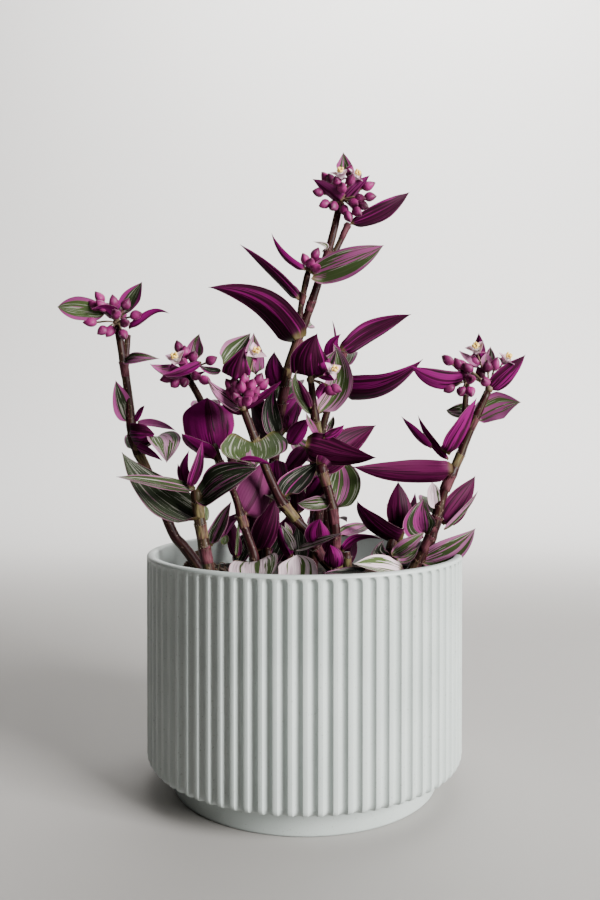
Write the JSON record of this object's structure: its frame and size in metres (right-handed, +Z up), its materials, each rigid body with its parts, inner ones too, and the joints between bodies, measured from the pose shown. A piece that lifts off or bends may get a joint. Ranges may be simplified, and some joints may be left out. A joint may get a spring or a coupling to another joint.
{
  "type": "potted tradescantia",
  "caption": "Tradescantia with striped green, pink and purple leaves and clusters of small pink flowers, growing in a round fluted ceramic pot on a narrower foot.",
  "frame": {"origin": "centre of the pot's flat underside, on the pot's axis", "axes": "+Z up along the pot's axis, -Y towards the front that the picture shows, +X to its right"},
  "size_m": [0.2642, 0.1863, 0.3663],
  "materials": {
    "glaze": "satin",
    "soil": "matte",
    "foliage": "satin",
    "flower": "satin"
  },
  "bodies": {
    "root": {"pot": "glaze", "soil": "soil", "stem_tall": "foliage", "stem_far_left": "foliage", "stem_left_middle": "foliage", "stem_left_front": "foliage", "stem_heart_leaf": "foliage", "stem_centre": "foliage", "stem_centre_back": "foliage", "stem_centre_right": "foliage", "stem_right": "foliage", "stem_right_short": "foliage", "shoot_front_purple": "foliage", "shoot_front_striped": "foliage", "shoot_centre_left": "foliage", "stem_back_left": "foliage", "stem_back_middle": "foliage", "stem_back_right": "foliage", "flowers_tall": "flower", "flowers_side_shoot": "flower", "flowers_far_left": "flower", "flowers_left_middle": "flower", "flowers_heart_stem": "flower", "flowers_centre": "flower", "flowers_right": "flower", "flowers_right_side": "flower"}
  },
  "joints": []
}
